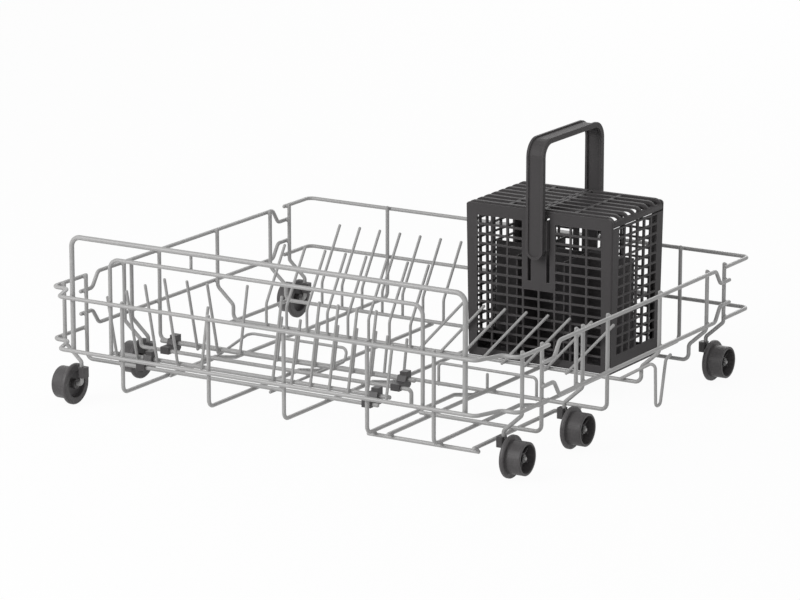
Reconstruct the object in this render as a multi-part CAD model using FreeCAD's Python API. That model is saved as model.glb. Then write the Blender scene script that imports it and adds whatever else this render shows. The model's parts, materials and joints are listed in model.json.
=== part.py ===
"""Lower rack of a dishwasher: a welded and coated wire basket on six flanged wheels,
with two folding tine rows and a lift-out cutlery basket. Front is -Y, up is +Z."""
import FreeCAD, Part
import math
import os

V = FreeCAD.Vector
os.makedirs("parts", exist_ok=True)

# Wires, over their coating
FRAME_WIRE = 4.0
HANDLE_WIRE = 5.0
TINE_WIRE = 3.0
PIVOT_WIRE = 4.5
LOOP_WIRE = 3.2
WELD_GAP = 0.05         # left between wires that are welded side by side
FRAME_BEND = 7.0        # bend radii at the centre line
HANDLE_BEND = 10.0
TINE_BEND = 9.0
AXLE_BEND = 4.5
WIRE_OVERHANG = 3.5     # how far a wire's end runs past its weld
TIP_ROUND = 0.4         # rounding of a coated end, as a share of the diameter

# Rails that run round the rack, at their centre lines
RAIL_WIDTH = 530.0
RAIL_DEPTH = 500.5
UPPER_RAIL_Z = 121.0
LOWER_RAIL_Z = 68.0
STUB_STEP = 15.0        # side rails step this far towards each other at their ends
STUB_KINK = 10.5        # length of that step along the rail
STUB_RUN = 16.0         # from the step to the corner post
CORNER_STEP_DEPTH = 30.0
CORNER_STEP_WIDTH = 18.0
CORNER_KINK = 11.0

# Hoops of the front; insets are from the side rails
HANDLE_INSET = 42.5
HANDLE_TOP_Z = 182.0
INNER_HOOP_INSET = 88.0
INNER_HOOP_TOP_Z = 165.0
STRUT_FROM_LEFT = 180.0

# Stations along the depth, from the front or the back rail
FRONT_WHEEL_INSET = 43.5
FRONT_POST_INSET = 80.5
ROW_CROSS_INSET = 146.5
MIDDLE_WHEEL_INSET = 159.5
CENTRE_CROSS_INSET = 209.0
REAR_CROSS_INSET = 185.0
LAST_CROSS_INSET = 84.0
BACK_WHEEL_INSET = 46.5

# Floor; places across the width are from the left or the right rail
FRONT_CROSS_Z = 37.0
REAR_CROSS_Z = 28.2
SHOULDER_Z = 62.0       # uprights turn in below the lower rail
SHOULDER_DROP = 17.5
SHOULDER_IN = 23.5      # from the rail to the inner part of an upright
FRONT_CROSS_FROM_RIGHT = (183.0, 138.0)     # the gap between its two lengths
ROW_CROSS_FROM_RIGHT = 186.5
LEFT_RUNNERS = (101.5, 202.0)
RIGHT_RUNNERS = (242.0, 149.0, 76.0)
SUB_RUNNERS = (130.0, 37.0)
RUNNER_DIP_START = 165.0
RUNNER_DIP_RUN = 37.0
SUB_BAR_INSET = 17.0
SUB_BAR_FROM_RIGHT = (157.0, 33.5)
SUB_RUNNER_SHORT = 9.0      # the longer one stops this far before the rear cross wire
SIDE_RUNNER_ANGLE = 50.0    # where the side runner lies against the bends of the cross wires

# Fixed tines
TINE_PITCH = 25.0
TINE_FIRST_FROM_LEFT = 67.0
REAR_TINES = 7
CENTRE_TINES = 8
TINE_STAND = 24.0       # upright part above the cross wire
TINE_RISE = 56.0
TINE_LEAN = 36.5
SLANT_TINES = 8
SLANT_FROM_RIGHT = 280.0
SLANT_PITCH = 24.7
SLANT_ANGLE = 43.0
SLANT_LENGTH = 80.0
HOOP_TINES_FROM_RIGHT = (254.0, 231.5)
HOOP_TINE_ANGLE = 10.0
HOOP_TINE_LENGTH = 40.0
TINE_TAIL = 2.5         # end of a leaning tine below its weld

# Folding rows; a pair is from the left and from the right rail, other places from the left
PIVOT_BEHIND = 14.0     # pivot wire behind the cross wire that carries it
PIVOT_ABOVE = 5.3
FRONT_PIVOT_ENDS = (26.0, 178.0)
FRONT_CLIPS = (71.0, 195.1)
FRONT_LEFT_TINES = (33.0, 58.0, 82.0, 106.7)
FRONT_LEFT_LENGTH = 66.0
FRONT_LEFT_GROWTH = 9.9
FRONT_LEFT_ANGLE = -13.0
FRONT_SHORT_TINE = 135.0
FRONT_SHORT_LENGTH = 61.0
FRONT_TINE_FROM_RIGHT = 180.8   # the last one
FRONT_TINE_PITCH = 21.7
FRONT_TINES = 7
FRONT_TINE_LENGTH = 82.0
FRONT_TINE_ANGLE = 12.0
FRONT_LOW_TINES = (1, 6)    # which of these are cut shorter
FRONT_LOW_LENGTH = 52.0
REAR_PIVOT_ENDS = (38.0, 190.0)
REAR_CLIPS = (55.0, 203.0)
REAR_LEFT_TINES = (85.5, 110.0)
REAR_LEFT_LENGTH = 76.0
REAR_LEFT_ANGLE = -13.5
REAR_TALL_TINE = 137.0
REAR_TALL_LENGTH = 69.0
REAR_TINE_FROM_RIGHT = 238.7    # the last one
REAR_TINE_PITCH = 22.0
REAR_TINES_SHORT = 6
REAR_TINE_LENGTH = 43.0
REAR_TINE_ANGLE = 12.0
CLIP_WIDTH = 10.0
CLIP_WALL = 2.4
CLIP_UNDER = 0.8        # below the cross wire
CLIP_TAB = 4.0
PIVOT_CLEARANCE = 0.06
REST_LEFT = 106.5
REST_RIGHT = 224.0
REST_Z = 46.0
REST_RISE_RUN = 5.5

# Small wires on the right
BASKET_RAIL_FROM_RIGHT = (195.0, 84.0)
BASKET_RAIL_RISE = 20.0
LOOP_FROM_RIGHT = (45.5, 6.2)   # its start on the rear cross wire, and the part that hangs
LOOP_START_RISE = 1.4
LOOP_BOTTOM_Z = 6.3
LOOP_SLANT = 2.2
LOOP_FOOT = 9.5
LOOP_SPREAD = 10.5
LOOP_HOOK = 11.0
LOOP_TOP_DROP = 9.1     # below the shoulders of the uprights
LOOP_HOOK_RISE = 2.9

# Wheels
WHEEL_RADIUS = 20.75
WHEEL_WIDTH = 20.0
WHEEL_FLANGE = 5.0
DRUM_RADIUS = 16.2
DRUM_WALL = 2.4
DRUM_RECESS = 11.0
HUB_RADIUS = 5.0
HUB_SETBACK = 5.0       # end of the hub inside the drum's outer edge
WHEEL_RIBS = 6
RIB_THICKNESS = 1.5
RIB_SETBACK = 1.5
WHEEL_DISH = 5.0        # hollow of the inner face, between hub and flange
WHEEL_EDGE = 1.2
WHEEL_PROUD = 2.5       # outer wheel face past the rail's centre line
AXLE_CLEARANCE = 0.08
AXLE_TIP = 2.4          # axle past its push nut
NUT_RADIUS = 3.9
NUT_THICKNESS = 1.0
RUNNING_GAP = 0.4
SADDLE_WIDTH = 9.0
SADDLE_DEPTH = 8.0
SADDLE_HEIGHT = 10.5
SADDLE_LIP = 1.7        # past the wire's centre, on the side that the wire snaps in from
SADDLE_ABOVE_BEND = 3.5
SADDLE_CHAMFER = 1.2

# Cutlery basket, of panels that clip together
BASKET_LENGTH = 167.6       # at the rim
BASKET_DEPTH = 108.4
BASKET_HEIGHT = 158.5
BASKET_DRAFT = 2.2          # the foot of each wall lies this far inside its rim
BASKET_FROM_RAIL = 57.0     # right rim to the right rail
BASKET_OVERHANG = 1.05      # front rim ahead of the cross wire's centre
BASKET_SEAT_GAP = 0.1
BASKET_WALL = 2.2
BASKET_CORNER = 2.0
BASKET_SHOULDER = 5.0       # rounding of the upper corners of the front and back walls
PANEL_GAP = 0.05
WINDOW_COLUMNS = 8
WINDOW_ROWS = 14
WINDOW_PITCH_X = 18.0
WINDOW_PITCH_Z = 10.0
WINDOW_BAR = 2.0
WINDOW_FLOOR_BAND = 8.0
SIDE_COLUMNS = 6
SIDE_ROWS = 13
SIDE_PITCH_Y = 13.8
SIDE_BAR = 3.2
SIDE_WALL_DROP = 10.6
FLOOR_SLOT_COLUMNS = 8
FLOOR_SLOT_ROWS = 8
FLOOR_SLOT_PITCH_Y = 11.6
FLOOR_SLOT_LENGTH = 6.0
FLOOR_SLOT_WIDTH = 3.2
CROSS_BAR_WIDTH = 7.0
CROSS_BAR_DEPTH = 9.0
DIVIDER_WALL = 1.6
DIVIDER_DROP = 50.0         # below the basket's rim
DIVIDER_CELL = 54.0
DIVIDER_GAP = 0.4

# Lids of the basket
LID_BARS = 8
LID_BAR_WIDTH = 4.0
LID_RIB_DROP = 0.6
LID_THICKNESS = 3.0
LID_SHOULDER = 9.0
LID_BAND = 4.0              # closed strip above the knuckle
LID_GAP = 0.5
LID_ABOVE_RIM = 1.6
LID_ROD = 3.0
LID_KNUCKLE = 2.6
ROD_CLEARANCE = 0.06
LID_ROD_INSET = 2.6

# Handle of the basket
STRAP_WIDTH = 19.0
STRAP_THICKNESS = 5.5
STRAP_STANDOFF = 3.35       # from the rims of the front and back walls
STRAP_WEB = 3.4
STRAP_RIM = 2.4
STRAP_RECESS = 1.6
STRAP_BEND = 13.0
HANDLE_RISE = 73.0          # above the basket's rim
LEG_LENGTH = 121.8
SLOT_FROM_CENTRE = 10.7     # two slots in each wall guide the handle's hooks
SLOT_WIDTH = 3.8
SLOT_BELOW = 24.5           # the slots run this far below the legs, so that the handle can drop
SLOT_DROP = 4.0             # top of the slots below the rim
SLOT_LEDGE = 5.0            # plain wall below the slots
HOOK_GAP = 0.6
HOOK_HEIGHT = 30.0
HOOK_PLATE = 2.0
HOOK_CATCH = 1.2            # behind the wall, past the edge of the slot
HOOK_THICKNESS = 1.6

# Places worked out from the sizes above
RAIL_X = RAIL_WIDTH / 2
FRONT_Y = -RAIL_DEPTH / 2
BACK_Y = RAIL_DEPTH / 2
LEFT_X = -RAIL_X
UPRIGHT_X = RAIL_X - FRAME_WIRE - WELD_GAP
INNER_X = RAIL_X - SHOULDER_IN
INSIDE_FRONT_Y = FRONT_Y + FRAME_WIRE + WELD_GAP
INSIDE_BACK_Y = BACK_Y - FRAME_WIRE - WELD_GAP
UPRIGHT_TOP = UPPER_RAIL_Z + WIRE_OVERHANG
FRONT_WHEEL_Y = FRONT_Y + FRONT_WHEEL_INSET
FRONT_POST_Y = FRONT_Y + FRONT_POST_INSET
ROW_CROSS_Y = FRONT_Y + ROW_CROSS_INSET
MIDDLE_WHEEL_Y = FRONT_Y + MIDDLE_WHEEL_INSET
CENTRE_CROSS_Y = FRONT_Y + CENTRE_CROSS_INSET
REAR_CROSS_Y = BACK_Y - REAR_CROSS_INSET
LAST_CROSS_Y = BACK_Y - LAST_CROSS_INSET
BACK_WHEEL_Y = BACK_Y - BACK_WHEEL_INSET
FRONT_RUNNER_Z = FRONT_CROSS_Z - FRAME_WIRE - WELD_GAP
REAR_RUNNER_Z = REAR_CROSS_Z - FRAME_WIRE - WELD_GAP
TINE_OFFSET = (FRAME_WIRE + TINE_WIRE) / 2 + WELD_GAP
WHEEL_Z = WHEEL_RADIUS
WHEEL_OUTER_X = RAIL_X + WHEEL_PROUD
WHEEL_INNER_X = WHEEL_OUTER_X - WHEEL_WIDTH
NUT_X = WHEEL_OUTER_X - HUB_SETBACK + RUNNING_GAP
BASKET_RIGHT_X = RAIL_X - BASKET_FROM_RAIL
BASKET_X = BASKET_RIGHT_X - BASKET_LENGTH / 2
BASKET_FRONT_Y = REAR_CROSS_Y - BASKET_OVERHANG
BASKET_BACK_Y = BASKET_FRONT_Y + BASKET_DEPTH
BASKET_Y = (BASKET_FRONT_Y + BASKET_BACK_Y) / 2
BASKET_Z = REAR_CROSS_Z + FRAME_WIRE / 2 + BASKET_SEAT_GAP
RIM_Z = BASKET_Z + BASKET_HEIGHT
LID_TOP_Z = RIM_Z + LID_ABOVE_RIM
LID_ROD_Z = LID_TOP_Z - LID_SHOULDER


def export(name, solids):
    """Write one node, a single solid or a group of separate ones."""
    shape = solids[0] if len(solids) == 1 else Part.makeCompound(solids)
    shape.exportStep("parts/" + name + ".step")


def mirrored(shape):
    return shape.mirror(V(0, 0, 0), V(1, 0, 0))


def bent_path(points, bend):
    """Straight runs through the points, joined by tangent arcs."""
    points = [V(*p) for p in points]
    edges = []
    start = points[0]
    for before, corner, after in zip(points, points[1:], points[2:]):
        into = (corner - before).normalize()
        out = (after - corner).normalize()
        half_turn = into.getAngle(out) / 2
        room = 0.48 * min((corner - before).Length, (after - corner).Length)
        radius = min(bend, room / math.tan(half_turn))
        reach = radius * math.tan(half_turn)
        middle = corner + (out - into).normalize() * (radius / math.cos(half_turn) - radius)
        arc_start = corner - into * reach
        arc_end = corner + out * reach
        edges.append(Part.LineSegment(start, arc_start).toShape())
        edges.append(Part.Arc(arc_start, middle, arc_end).toShape())
        start = arc_end
    edges.append(Part.LineSegment(start, points[-1]).toShape())
    return Part.Wire(edges)


def bent_wire(points, diameter, bend=FRAME_BEND):
    """One length of round wire, bent to shape, with rounded coated ends."""
    path = bent_path(points, bend)
    start = V(*points[0])
    heading = V(*points[1]) - start
    section = Part.Wire(Part.makeCircle(diameter / 2, start, heading))
    solid = path.makePipeShell([section], True, False)
    ends = (start, V(*points[-1]))
    rims = [e for e in solid.Edges if e.Curve.TypeId == "Part::GeomCircle"
            and min((e.Curve.Center - end).Length for end in ends) < 0.01]
    return solid.makeFillet(TIP_ROUND * diameter, rims)


def box(x0, y0, z0, x1, y1, z1):
    return Part.makeBox(x1 - x0, y1 - y0, z1 - z0, V(x0, y0, z0))


def side_rails():
    """Upper and lower rail of each side; their ends step in to meet the corner posts."""
    first_y = FRONT_POST_Y - 1.5 * WIRE_OVERHANG
    last_y = BACK_WHEEL_Y + 1.5 * WIRE_OVERHANG
    step_front_y = FRONT_POST_Y + STUB_RUN
    step_back_y = BACK_WHEEL_Y - STUB_RUN
    for name, z, stub_z in (("upper", UPPER_RAIL_Z, UPPER_RAIL_Z - STUB_STEP),
                            ("lower", LOWER_RAIL_Z, LOWER_RAIL_Z + STUB_STEP)):
        points = [(RAIL_X, first_y, stub_z), (RAIL_X, step_front_y, stub_z),
                  (RAIL_X, step_front_y + STUB_KINK, z), (RAIL_X, step_back_y - STUB_KINK, z),
                  (RAIL_X, step_back_y, stub_z), (RAIL_X, last_y, stub_z)]
        rail = bent_wire(points, FRAME_WIRE)
        export("right_" + name + "_rail", [rail])
        export("left_" + name + "_rail", [mirrored(rail)])


def front_and_back_rails():
    """Rails that wrap the corners; the front ones step forward between the corners."""
    wrap_y = FRONT_POST_Y + 2 * WIRE_OVERHANG
    step_y = FRONT_Y + CORNER_STEP_DEPTH
    step_x = RAIL_X - CORNER_STEP_WIDTH
    half = [(RAIL_X, wrap_y), (RAIL_X, step_y), (step_x, step_y), (step_x - CORNER_KINK, FRONT_Y)]
    front = half + [(-x, y) for x, y in reversed(half)]
    back_end = BACK_WHEEL_Y - 1.5 * WIRE_OVERHANG
    back = [(RAIL_X, back_end), (RAIL_X, BACK_Y), (-RAIL_X, BACK_Y), (-RAIL_X, back_end)]
    for level, z in (("upper", UPPER_RAIL_Z), ("lower", LOWER_RAIL_Z)):
        for side, plan in (("front", front), ("back", back)):
            points = [(x, y, z) for x, y in plan]
            export(side + "_" + level + "_rail", [bent_wire(points, FRAME_WIRE)])


def front_hoops():
    """The thick pull handle, the lower hoop inside it, and the strut between them."""
    foot_z = LOWER_RAIL_Z - WIRE_OVERHANG
    handle_y = FRONT_Y + (FRAME_WIRE + HANDLE_WIRE) / 2 + WELD_GAP
    for name, wire, y, inset, top in (
            ("pull_handle_hoop", HANDLE_WIRE, handle_y, HANDLE_INSET, HANDLE_TOP_Z),
            ("inner_hoop", FRAME_WIRE, INSIDE_FRONT_Y, INNER_HOOP_INSET, INNER_HOOP_TOP_Z)):
        x = RAIL_X - inset
        points = [(x, y, foot_z), (x, y, top), (-x, y, top), (-x, y, foot_z)]
        export(name, [bent_wire(points, wire, HANDLE_BEND)])
    strut_y = handle_y + (HANDLE_WIRE + TINE_WIRE) / 2 + WELD_GAP
    low = INNER_HOOP_TOP_Z - FRAME_WIRE / 2
    x = LEFT_X + STRUT_FROM_LEFT
    export("hoop_strut", [bent_wire([(x, strut_y, low), (x, strut_y, HANDLE_TOP_Z)], TINE_WIRE)])


def shoulder_points(y):
    """Upright of the right side that turns in below the lower rail."""
    return [(UPRIGHT_X, y, UPRIGHT_TOP), (UPRIGHT_X, y, SHOULDER_Z),
            (INNER_X, y, SHOULDER_Z - SHOULDER_DROP)]


def mirrored_points(points):
    return [(-x, y, z) for x, y, z in reversed(points)]


def cross_wires():
    """Wires that run from side to side under the floor and up the sides."""
    upright = [(UPRIGHT_X, CENTRE_CROSS_Y, UPRIGHT_TOP), (UPRIGHT_X, CENTRE_CROSS_Y, REAR_CROSS_Z)]
    export("centre_cross_hoop", [bent_wire(upright + mirrored_points(upright), FRAME_WIRE)])
    for name, y in (("rear_cross_hoop", REAR_CROSS_Y), ("last_cross_hoop", LAST_CROSS_Y)):
        half = shoulder_points(y) + [(INNER_X, y, REAR_CROSS_Z)]
        export(name, [bent_wire(half + mirrored_points(half), FRAME_WIRE)])

    y = FRONT_POST_Y
    left_end, right_end = [RAIL_X - d for d in FRONT_CROSS_FROM_RIGHT]
    for side, sign, end_x in (("right", 1, right_end), ("left", -1, left_end)):
        points = [(sign * UPRIGHT_X, y, UPRIGHT_TOP), (sign * UPRIGHT_X, y, FRONT_CROSS_Z),
                  (end_x, y, FRONT_CROSS_Z)]
        export("front_" + side + "_cross_wire", [bent_wire(points, FRAME_WIRE)])

    y = ROW_CROSS_Y
    left = [(-x, y, z) for x, y, z in shoulder_points(y)]
    end_x = RAIL_X - ROW_CROSS_FROM_RIGHT
    end_z = REAR_CROSS_Z - 2 * FRAME_WIRE
    row_cross = left + [(-INNER_X, y, FRONT_CROSS_Z), (end_x, y, FRONT_CROSS_Z), (end_x, y, end_z)]
    export("row_cross_wire", [bent_wire(row_cross, FRAME_WIRE, AXLE_BEND)])
    short = [(UPRIGHT_X, y, UPRIGHT_TOP), (UPRIGHT_X, y, LOWER_RAIL_Z - WIRE_OVERHANG)]
    export("right_short_upright", [bent_wire(short, FRAME_WIRE)])


def runner_points(x, start, end_y, end_z):
    """Floor wire along the depth: under the front cross wires, then past the rear ones at end_z."""
    dip_y = FRONT_Y + RUNNER_DIP_START
    return start + [(x, dip_y, FRONT_RUNNER_Z), (x, dip_y + RUNNER_DIP_RUN, end_z), (x, end_y, end_z)]


def floor_runners():
    """Floor wires: the outer two rise at the back, the others end at a cross wire."""
    past_last = LAST_CROSS_Y + 2 * WIRE_OVERHANG
    past_centre = CENTRE_CROSS_Y + 2 * WIRE_OVERHANG
    over_z = REAR_CROSS_Z + FRAME_WIRE + WELD_GAP
    places = [LEFT_X + d for d in LEFT_RUNNERS] + [RAIL_X - d for d in RIGHT_RUNNERS]
    names = ("left_runner", "left_centre_runner", "centre_runner", "right_centre_runner", "right_runner")
    ends = ((INSIDE_BACK_Y, REAR_RUNNER_Z), (past_last, REAR_RUNNER_Z), (past_last, REAR_RUNNER_Z),
            (past_centre, REAR_RUNNER_Z), (INSIDE_BACK_Y, REAR_RUNNER_Z))
    for name, x, (end_y, end_z) in zip(names, places, ends):
        start = [(x, INSIDE_FRONT_Y, UPRIGHT_TOP), (x, INSIDE_FRONT_Y, FRONT_RUNNER_Z)]
        points = runner_points(x, start, end_y, end_z)
        if end_y == INSIDE_BACK_Y:
            points.append((x, end_y, UPRIGHT_TOP))
        export(name, [bent_wire(points, FRAME_WIRE)])

    bar_y = FRONT_Y + SUB_BAR_INSET
    bar_z = FRONT_RUNNER_Z - FRAME_WIRE - WELD_GAP
    bar = [(RAIL_X - d, bar_y, bar_z) for d in SUB_BAR_FROM_RIGHT]
    export("sub_floor_bar", [bent_wire(bar, FRAME_WIRE)])
    sub_ends = ((REAR_CROSS_Y - SUB_RUNNER_SHORT, over_z), (past_centre, REAR_RUNNER_Z))
    sub_runners = []
    for inset, (end_y, end_z) in zip(SUB_RUNNERS, sub_ends):
        x = RAIL_X - inset
        start = [(x, bar_y - 2 * WIRE_OVERHANG, FRONT_RUNNER_Z)]
        sub_runners.append(bent_wire(runner_points(x, start, end_y, end_z), FRAME_WIRE))
    export("sub_floor_runners", sub_runners)

    angle = math.radians(SIDE_RUNNER_ANGLE)
    reach = FRAME_BEND + FRAME_WIRE + WELD_GAP
    x = -(INNER_X - FRAME_BEND + reach * math.cos(angle))
    z = REAR_CROSS_Z + FRAME_BEND - reach * math.sin(angle)
    side = [(x, REAR_CROSS_Y - 2 * WIRE_OVERHANG, z), (x, LAST_CROSS_Y + 2 * WIRE_OVERHANG, z)]
    export("left_side_runner", [bent_wire(side, FRAME_WIRE)])


def leaning_tine(place, wire, lean, length):
    """Straight tine welded to the front of a wire that runs across; lean is in degrees to the back."""
    angle = math.radians(lean)
    along = V(0, math.sin(angle), math.cos(angle))
    aside = V(0, -math.cos(angle), math.sin(angle))
    weld = V(*place) + aside * ((wire + TINE_WIRE) / 2 + WELD_GAP)
    return bent_wire([tuple(weld - along * TINE_TAIL), tuple(weld + along * length)], TINE_WIRE)


def hoop_tines():
    """Two short tines on the centre cross wire."""
    tines = []
    for inset in HOOP_TINES_FROM_RIGHT:
        place = (RAIL_X - inset, CENTRE_CROSS_Y, REAR_CROSS_Z)
        tines.append(leaning_tine(place, FRAME_WIRE, HOOP_TINE_ANGLE, HOOP_TINE_LENGTH))
    return tines


def fixed_tines():
    """Plate tines on the two rear cross wires, and the slanted tines before the basket."""
    foot_z = REAR_CROSS_Z - 0.6 * FRAME_WIRE
    bend_z = REAR_CROSS_Z + TINE_STAND
    for name, y, count, tines in (("rear_tines", LAST_CROSS_Y + TINE_OFFSET, REAR_TINES, []),
                                  ("centre_tines", REAR_CROSS_Y - TINE_OFFSET, CENTRE_TINES, hoop_tines())):
        for i in range(count):
            x = LEFT_X + TINE_FIRST_FROM_LEFT + i * TINE_PITCH
            points = [(x, y, foot_z), (x, y, bend_z), (x, y + TINE_LEAN, bend_z + TINE_RISE)]
            tines.append(bent_wire(points, TINE_WIRE, TINE_BEND))
        export(name, tines)
    angle = math.radians(SLANT_ANGLE)
    along_x = SLANT_LENGTH * math.sin(angle)
    along_z = SLANT_LENGTH * math.cos(angle)
    y = REAR_CROSS_Y - TINE_OFFSET
    slanted = []
    for i in range(SLANT_TINES):
        x = RAIL_X - SLANT_FROM_RIGHT + i * SLANT_PITCH
        points = [(x, y, foot_z), (x + along_x, y, foot_z + along_z)]
        slanted.append(bent_wire(points, TINE_WIRE))
    export("slanted_tines", slanted)


def pivot_place(cross_y):
    return cross_y + PIVOT_BEHIND, FRONT_CROSS_Z + PIVOT_ABOVE


def across(ends):
    """Places of a pair that is given from the left and from the right rail."""
    from_left, from_right = ends
    return LEFT_X + from_left, RAIL_X - from_right


def folding_tine(x, cross_y, lean, length):
    """Tine of the row that turns on the pivot wire behind a cross wire."""
    return leaning_tine((x, *pivot_place(cross_y)), PIVOT_WIRE, lean, length)


def folding_rows():
    """Two combs of tines, each on a pivot wire that turns in two clips."""
    front = []
    for i, place in enumerate(FRONT_LEFT_TINES):
        length = FRONT_LEFT_LENGTH + i * FRONT_LEFT_GROWTH
        front.append(folding_tine(LEFT_X + place, FRONT_POST_Y, FRONT_LEFT_ANGLE, length))
    short_x = LEFT_X + FRONT_SHORT_TINE
    front.append(folding_tine(short_x, FRONT_POST_Y, FRONT_TINE_ANGLE, FRONT_SHORT_LENGTH))
    for i in range(FRONT_TINES):
        x = RAIL_X - FRONT_TINE_FROM_RIGHT - (FRONT_TINES - 1 - i) * FRONT_TINE_PITCH
        length = FRONT_LOW_LENGTH if i in FRONT_LOW_TINES else FRONT_TINE_LENGTH
        front.append(folding_tine(x, FRONT_POST_Y, FRONT_TINE_ANGLE, length))

    rear = []
    for place in REAR_LEFT_TINES:
        rear.append(folding_tine(LEFT_X + place, ROW_CROSS_Y, REAR_LEFT_ANGLE, REAR_LEFT_LENGTH))
    tall_x = LEFT_X + REAR_TALL_TINE
    rear.append(folding_tine(tall_x, ROW_CROSS_Y, REAR_TINE_ANGLE, REAR_TALL_LENGTH))
    for i in range(REAR_TINES_SHORT):
        x = RAIL_X - REAR_TINE_FROM_RIGHT - i * REAR_TINE_PITCH
        rear.append(folding_tine(x, ROW_CROSS_Y, REAR_TINE_ANGLE, REAR_TINE_LENGTH))

    for name, tines, cross_y, ends in (("front_fold", front, FRONT_POST_Y, FRONT_PIVOT_ENDS),
                                       ("rear_fold", rear, ROW_CROSS_Y, REAR_PIVOT_ENDS)):
        y, z = pivot_place(cross_y)
        export(name + "_pivot_wire", [bent_wire([(x, y, z) for x in across(ends)], PIVOT_WIRE)])
        export(name + "_tines", tines)


def row_clip(x, cross_y):
    """Plastic bearing clipped on a cross wire, with a bore for the pivot wire and a raised tab."""
    pivot_y, pivot_z = pivot_place(cross_y)
    low_z = FRONT_CROSS_Z - FRAME_WIRE / 2 - CLIP_UNDER
    top_z = pivot_z + PIVOT_WIRE / 2 + CLIP_WALL
    front_y = cross_y - FRAME_WIRE / 2 - CLIP_WALL
    back_y = pivot_y + PIVOT_WIRE / 2 + CLIP_WALL
    shelf_z = FRONT_CROSS_Z + FRAME_WIRE / 2 + CLIP_WALL
    tab_y = pivot_y - PIVOT_WIRE / 2 - CLIP_WALL
    outline = [(front_y, low_z), (back_y - CLIP_WALL, low_z), (back_y, low_z + CLIP_WALL),
               (back_y, top_z), (tab_y, top_z), (tab_y - CLIP_WALL, shelf_z), (front_y, shelf_z)]
    corners = [V(x - CLIP_WIDTH / 2, y, z) for y, z in outline]
    block = Part.Face(Part.makePolygon(corners + corners[:1])).extrude(V(CLIP_WIDTH, 0, 0))
    tab = box(x - CLIP_WIDTH / 4, tab_y, top_z, x + CLIP_WIDTH / 2, back_y, top_z + CLIP_TAB)
    body = block.fuse(tab).removeSplitter()
    start = x - CLIP_WIDTH
    along = V(1, 0, 0)
    cross_bore = Part.makeCylinder(FRAME_WIRE / 2 + WELD_GAP, 2 * CLIP_WIDTH,
                                   V(start, cross_y, FRONT_CROSS_Z), along)
    pivot_bore = Part.makeCylinder(PIVOT_WIRE / 2 + PIVOT_CLEARANCE, 2 * CLIP_WIDTH,
                                   V(start, pivot_y, pivot_z), along)
    return body.cut(cross_bore.fuse(pivot_bore))


def row_clips():
    for name, ends, cross_y in (("front", FRONT_CLIPS, FRONT_POST_Y), ("rear", REAR_CLIPS, ROW_CROSS_Y)):
        for side, x in zip(("left", "right"), across(ends)):
            export(name + "_" + side + "_row_clip", [row_clip(x, cross_y)])


def tine_rest():
    """Wire under the front cross wires whose raised end catches the rear row when it folds."""
    low_z = FRONT_CROSS_Z - TINE_OFFSET
    front_y = FRONT_POST_Y - WIRE_OVERHANG
    slope_y = ROW_CROSS_Y + 1.5 * WIRE_OVERHANG
    rise_y = CENTRE_CROSS_Y
    bar_y = rise_y + 2 * REST_RISE_RUN
    left_x = LEFT_X + REST_LEFT
    right_x = LEFT_X + REST_RIGHT
    points = [(left_x, front_y, low_z), (left_x, slope_y, low_z), (left_x, bar_y, REST_Z),
              (right_x, bar_y, REST_Z), (right_x, bar_y - REST_RISE_RUN, low_z), (right_x, front_y, low_z)]
    export("tine_rest", [bent_wire(points, TINE_WIRE)])


def basket_rail():
    """Low rail on the centre cross wire, before the place of the basket."""
    y = CENTRE_CROSS_Y + TINE_OFFSET
    top = REAR_CROSS_Z + BASKET_RAIL_RISE
    foot = REAR_CROSS_Z - WIRE_OVERHANG
    x0, x1 = [RAIL_X - d for d in BASKET_RAIL_FROM_RIGHT]
    middle_x = (x0 + x1) / 2
    hoop = [(x0, y, foot), (x0, y, top), (x1, y, top), (x1, y, foot)]
    leg = [(middle_x, y, foot), (middle_x, y, top - TINE_WIRE - WELD_GAP)]
    export("basket_rail", [bent_wire(hoop, TINE_WIRE, AXLE_BEND), bent_wire(leg, TINE_WIRE)])


def stop_loop():
    """Brace from the rear cross wire out to a thin loop that hangs at the right side."""
    start_x, x = [RAIL_X - d for d in LOOP_FROM_RIGHT]
    y = REAR_CROSS_Y - (FRAME_WIRE + LOOP_WIRE) / 2 - WELD_GAP
    top = SHOULDER_Z - LOOP_TOP_DROP
    points = [(start_x, y, REAR_CROSS_Z + LOOP_START_RISE), (x, y, top)]
    y += LOOP_SLANT
    points.append((x, y, LOOP_BOTTOM_Z))
    y += LOOP_FOOT
    points.append((x, y, LOOP_BOTTOM_Z))
    y += LOOP_SPREAD
    points.append((x, y, top - LOOP_HOOK_RISE))
    points.append((x, y + LOOP_HOOK, top))
    export("stop_loop", [bent_wire(points, LOOP_WIRE, AXLE_BEND)])


def wheel_places():
    return (("front", FRONT_WHEEL_Y), ("middle", MIDDLE_WHEEL_Y), ("back", BACK_WHEEL_Y))


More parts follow.
